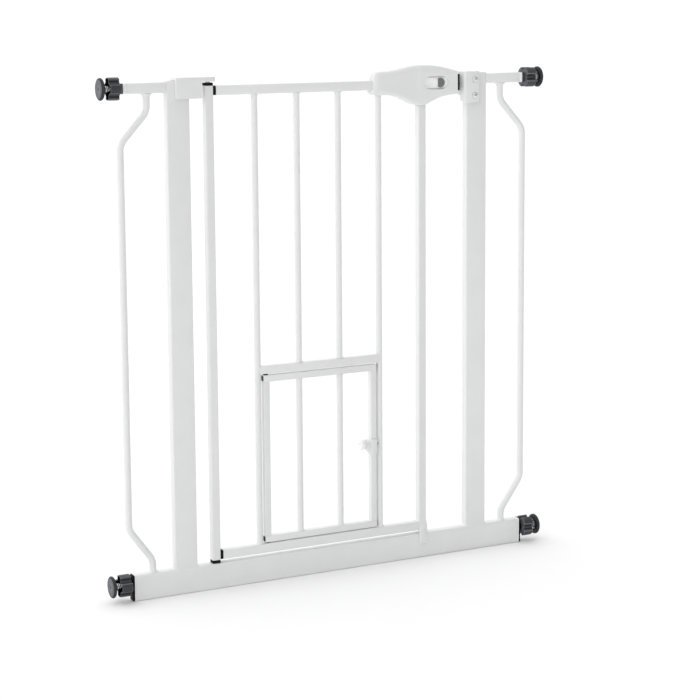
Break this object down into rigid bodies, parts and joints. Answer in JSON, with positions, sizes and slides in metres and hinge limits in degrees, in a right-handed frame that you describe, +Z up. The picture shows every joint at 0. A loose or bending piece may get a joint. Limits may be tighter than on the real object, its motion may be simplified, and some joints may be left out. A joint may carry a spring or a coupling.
{
  "type": "pet gate",
  "caption": "Walk-through pressure-mounted pet gate with a swinging barred leaf, a sliding thumb latch, a small latched pet door and screw-out wall pads.",
  "frame": {"origin": "on the floor, under the centre of the frame: the middle of the bottom rail's underside", "axes": "+X along the gate from the hinge side to the latch side, +Y away from the side the leaf opens to, +Z up"},
  "size_m": [0.722, 0.0328, 0.765],
  "materials": {
    "powder_coat": "satin powder coat",
    "white_plastic": "satin moulded plastic",
    "grey_plastic": "fine-grained moulded plastic",
    "dark_plastic": "charcoal moulded nylon",
    "black_plastic": "black moulded plastic",
    "zinc": "bright zinc plate"
  },
  "bodies": {
    "frame": {"bottom_rail": "powder_coat", "post_left": "powder_coat", "post_right": "powder_coat", "stub_left": "powder_coat", "stub_right": "powder_coat", "side_bar_left": "powder_coat", "side_bar_right": "powder_coat", "end_plug_upper_left": "dark_plastic", "end_plug_upper_right": "dark_plastic", "end_plug_lower_left": "black_plastic", "end_plug_lower_right": "black_plastic", "hinge_saddle": "white_plastic", "hinge_pin_upper": "zinc", "hinge_pin_lower": "zinc", "keeper": "white_plastic", "keeper_screw_upper": "zinc", "keeper_screw_lower": "zinc"},
    "leaf": {"hinge_upright": "powder_coat", "latch_upright": "powder_coat", "leaf_rail_upper": "powder_coat", "leaf_rail_lower": "powder_coat", "leaf_bar_1": "powder_coat", "leaf_bar_2": "powder_coat", "leaf_bar_3": "powder_coat", "leaf_bar_4": "powder_coat", "cross_rail": "powder_coat", "handle_front": "white_plastic", "handle_back": "white_plastic", "rail_spacer_upper": "black_plastic", "rail_spacer_lower": "black_plastic", "hinge_bush_upper": "black_plastic", "hinge_bush_lower": "black_plastic", "pet_pivot_upper": "zinc", "pet_pivot_lower": "zinc", "latch_spring": "zinc"},
    "latch": {"latch_slider": "white_plastic", "latch_button": "grey_plastic", "latch_bolt": "black_plastic"},
    "pet_door": {"pet_rail_upper": "powder_coat", "pet_rail_lower": "powder_coat", "pet_upright_left": "powder_coat", "pet_upright_right": "powder_coat", "pet_bar_left": "powder_coat", "pet_bar_right": "powder_coat", "pet_latch_housing": "white_plastic"},
    "pet_latch": {"pet_latch_knob": "white_plastic", "pet_latch_pin": "black_plastic"},
    "nut_upper_left": {"hand_nut_upper_left": "dark_plastic"},
    "spindle_upper_left": {"spindle_upper_left": "zinc", "wall_pad_upper_left": "dark_plastic"},
    "nut_upper_right": {"hand_nut_upper_right": "dark_plastic"},
    "spindle_upper_right": {"spindle_upper_right": "zinc", "wall_pad_upper_right": "dark_plastic"},
    "nut_lower_left": {"hand_nut_lower_left": "dark_plastic"},
    "spindle_lower_left": {"spindle_lower_left": "zinc", "wall_pad_lower_left": "dark_plastic"},
    "nut_lower_right": {"hand_nut_lower_right": "dark_plastic"},
    "spindle_lower_right": {"spindle_lower_right": "zinc", "wall_pad_lower_right": "dark_plastic"}
  },
  "joints": [
    {"name": "leaf_swing", "type": "hinge", "parent": "frame", "child": "leaf", "pos_m": [-0.19725, -0.0015, 0.044], "axis": [0, 0, -1], "range_deg": [0, 100]},
    {"name": "latch_slide", "type": "slide", "parent": "leaf", "child": "latch", "axis": [-1, 0, 0], "range_m": [0, 0.0085], "stiffness_N_per_m": 300, "springref_m": -0.01, "deforming": ["latch_spring"]},
    {"name": "pet_door_swing", "type": "hinge", "parent": "leaf", "child": "pet_door", "pos_m": [-0.1125, -0.0015, 0.0595], "axis": [0, 0, -1], "range_deg": [-90, 90]},
    {"name": "pet_latch_pull", "type": "slide", "parent": "pet_door", "child": "pet_latch", "axis": [-1, 0, 0], "range_m": [0, 0.007], "stiffness_N_per_m": 200, "springref_m": -0.008},
    {"name": "nut_spin_upper_left", "type": "hinge", "parent": "frame", "child": "nut_upper_left", "pos_m": [-0.3318, 0, 0.7425], "axis": [-1, 0, 0], "range_deg": [-721, 3601]},
    {"name": "spindle_feed_upper_left", "type": "slide", "parent": "frame", "child": "spindle_upper_left", "axis": [-1, 0, 0], "range_m": [-0.005, 0.025]},
    {"name": "nut_spin_upper_right", "type": "hinge", "parent": "frame", "child": "nut_upper_right", "pos_m": [0.3318, 0, 0.7425], "axis": [1, 0, 0], "range_deg": [-721, 3601]},
    {"name": "spindle_feed_upper_right", "type": "slide", "parent": "frame", "child": "spindle_upper_right", "axis": [1, 0, 0], "range_m": [-0.005, 0.025]},
    {"name": "nut_spin_lower_left", "type": "hinge", "parent": "frame", "child": "nut_lower_left", "pos_m": [-0.3318, 0, 0.0244], "axis": [-1, 0, 0], "range_deg": [-721, 3601]},
    {"name": "spindle_feed_lower_left", "type": "slide", "parent": "frame", "child": "spindle_lower_left", "axis": [-1, 0, 0], "range_m": [-0.005, 0.025]},
    {"name": "nut_spin_lower_right", "type": "hinge", "parent": "frame", "child": "nut_lower_right", "pos_m": [0.3318, 0, 0.0244], "axis": [1, 0, 0], "range_deg": [-721, 3601]},
    {"name": "spindle_feed_lower_right", "type": "slide", "parent": "frame", "child": "spindle_lower_right", "axis": [1, 0, 0], "range_m": [-0.005, 0.025]}
  ],
  "couplings": [
    {"joint": "nut_spin_upper_left", "follows": "spindle_feed_upper_left", "rad_per_m": 2513.3},
    {"joint": "nut_spin_upper_right", "follows": "spindle_feed_upper_right", "rad_per_m": 2513.3},
    {"joint": "nut_spin_lower_left", "follows": "spindle_feed_lower_left", "rad_per_m": 2513.3},
    {"joint": "nut_spin_lower_right", "follows": "spindle_feed_lower_right", "rad_per_m": 2513.3}
  ]
}
